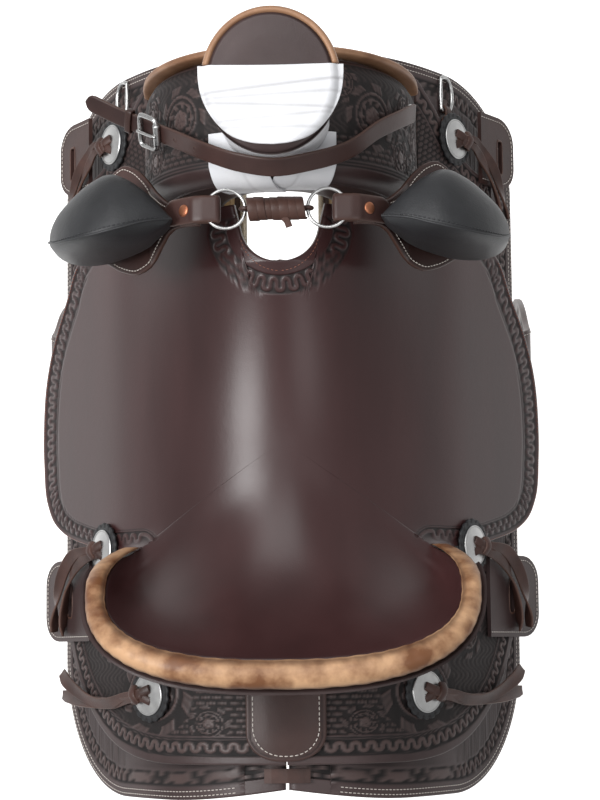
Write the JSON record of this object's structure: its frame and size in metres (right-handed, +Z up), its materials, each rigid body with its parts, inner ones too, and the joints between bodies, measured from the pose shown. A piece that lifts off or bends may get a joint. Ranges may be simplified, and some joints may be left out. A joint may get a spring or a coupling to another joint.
{
  "type": "wade saddle",
  "caption": "Wade tree western saddle with tooled skirts and fork, post horn wrapped in hide, bucking rolls, a rolled cantle, fenders and stirrups.",
  "frame": {"origin": "on the centre line, on the ridge of the arch that the fleece makes over the horse's back, below the deepest part of the seat's length", "axes": "+Y to the horse's head, +X to the off (right) side, +Z up"},
  "size_m": [0.5234, 0.695, 0.9958],
  "materials": {
    "dark_leather": "dyed dark, tooled, satin",
    "smooth_leather": "dyed brown, smooth, half gloss",
    "tan_leather": "undyed, mottled, satin",
    "black_leather": "dyed black, fine grain, satin",
    "lace_leather": "oiled lace, matte",
    "mulehide": "white, matte",
    "wool": "sheared pile, matte",
    "rawhide_wood": "rawhide covered, matte",
    "steel": "stainless, half gloss"
  },
  "bodies": {
    "saddle": {"bucking_roll_left": "black_leather", "bucking_roll_right": "black_leather", "cantle_back": "dark_leather", "cantle_roll": "tan_leather", "concho_corner_left": "steel", "concho_corner_right": "steel", "concho_front_left": "steel", "concho_front_right": "steel", "concho_rear_left": "steel", "concho_rear_right": "steel", "fleece_left": "wool", "fleece_right": "wool", "fork_cover": "dark_leather", "front_jockey_left": "dark_leather", "front_jockey_right": "dark_leather", "front_keeper_left": "smooth_leather", "front_keeper_right": "smooth_leather", "grab_strap": "dark_leather", "ground_seat": "rawhide_wood", "gullet_lip": "tan_leather", "horn_cap": "dark_leather", "horn_flap": "mulehide", "horn_wrap": "mulehide", "jockey_plug": "smooth_leather", "lace_link": "lace_leather", "link_core": "lace_leather", "rear_jockey_left": "dark_leather", "rear_jockey_right": "dark_leather", "rear_keeper_left": "smooth_leather", "rear_keeper_right": "smooth_leather", "ring_tab_left": "smooth_leather", "ring_tab_right": "smooth_leather", "roll_backing_left": "smooth_leather", "roll_backing_right": "smooth_leather", "roll_ring_left": "steel", "roll_ring_right": "steel", "saddle_string_corner_left": "lace_leather", "saddle_string_corner_right": "lace_leather", "saddle_string_front_left": "lace_leather", "saddle_string_front_right": "lace_leather", "saddle_string_rear_left": "lace_leather", "saddle_string_rear_right": "lace_leather", "seat_leather": "smooth_leather", "skirt_left": "dark_leather", "skirt_right": "dark_leather", "skirt_tie": "lace_leather", "strap_buckle": "steel", "tree_bar_left": "rawhide_wood", "tree_bar_right": "rawhide_wood", "tree_cantle": "rawhide_wood", "tree_fork": "rawhide_wood"},
    "buckle_tongue": {"buckle_tongue": "steel"},
    "fender_left": {"fender_left": "smooth_leather"},
    "fender_right": {"fender_right": "smooth_leather"},
    "stirrup_left": {"stirrup_left": "rawhide_wood"},
    "stirrup_right": {"stirrup_right": "rawhide_wood"}
  },
  "joints": [
    {"name": "fender_swing_left", "type": "hinge", "parent": "saddle", "child": "fender_left", "pos_m": [-0.15188, 0.025, -0.07196], "axis": [-0.8387, 0, 0.5446], "range_deg": [-12, 12]},
    {"name": "stirrup_swing_left", "type": "hinge", "parent": "fender_left", "child": "stirrup_left", "pos_m": [-0.2337, 0.025, -0.55132], "axis": [0, 1, 0], "range_deg": [-45, 45]},
    {"name": "fender_swing_right", "type": "hinge", "parent": "saddle", "child": "fender_right", "pos_m": [0.15188, 0.025, -0.07196], "axis": [0.8387, 0, 0.5446], "range_deg": [-12, 12]},
    {"name": "stirrup_swing_right", "type": "hinge", "parent": "fender_right", "child": "stirrup_right", "pos_m": [0.2337, 0.025, -0.55132], "axis": [0, 1, 0], "range_deg": [-45, 45]},
    {"name": "buckle_tongue_lift", "type": "hinge", "parent": "saddle", "child": "buckle_tongue", "pos_m": [-0.12454, 0.21232, 0.12282], "axis": [0.0016, -0.8009, -0.5987], "range_deg": [0, 60]}
  ]
}
